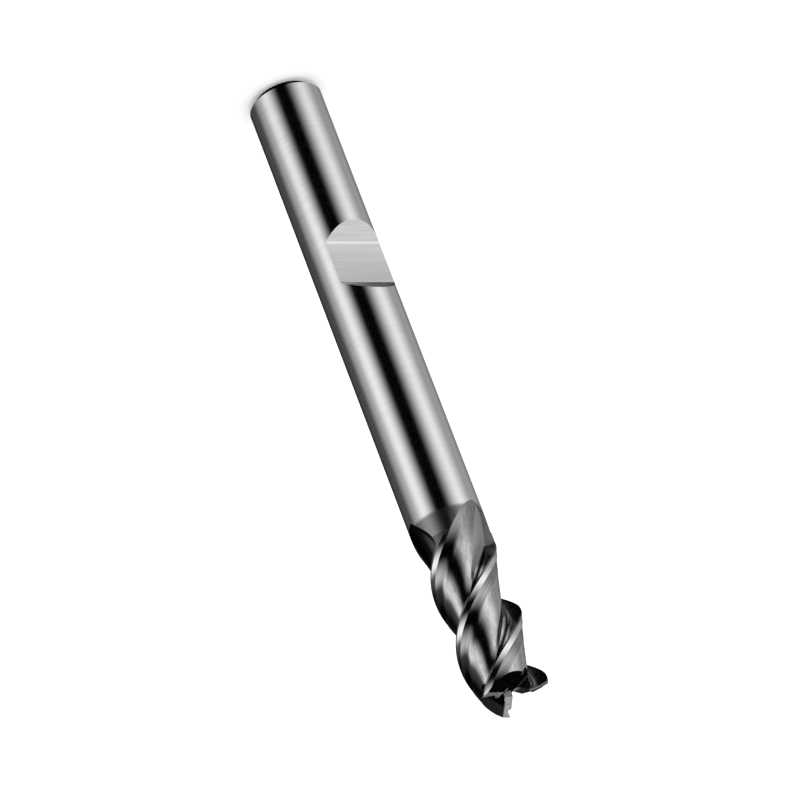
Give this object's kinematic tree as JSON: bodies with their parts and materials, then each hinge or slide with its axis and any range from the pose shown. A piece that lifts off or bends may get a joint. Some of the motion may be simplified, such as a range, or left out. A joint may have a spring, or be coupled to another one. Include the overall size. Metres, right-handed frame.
{
  "type": "end mill",
  "caption": "Short-series end mill with helical flutes, a long centre-cutting tooth and a plain round shank with one side-lock flat.",
  "frame": {"origin": "centre of the flat ground shank end, which the tool stands on", "axes": "+Z along the tool's axis from the shank end to the cutting end; -Y is the outward normal of the side-lock flat"},
  "size_m": [0.006, 0.006, 0.057],
  "materials": {
    "ground_steel": "ground"
  },
  "bodies": {
    "root": {"end_mill": "ground_steel"}
  },
  "joints": []
}
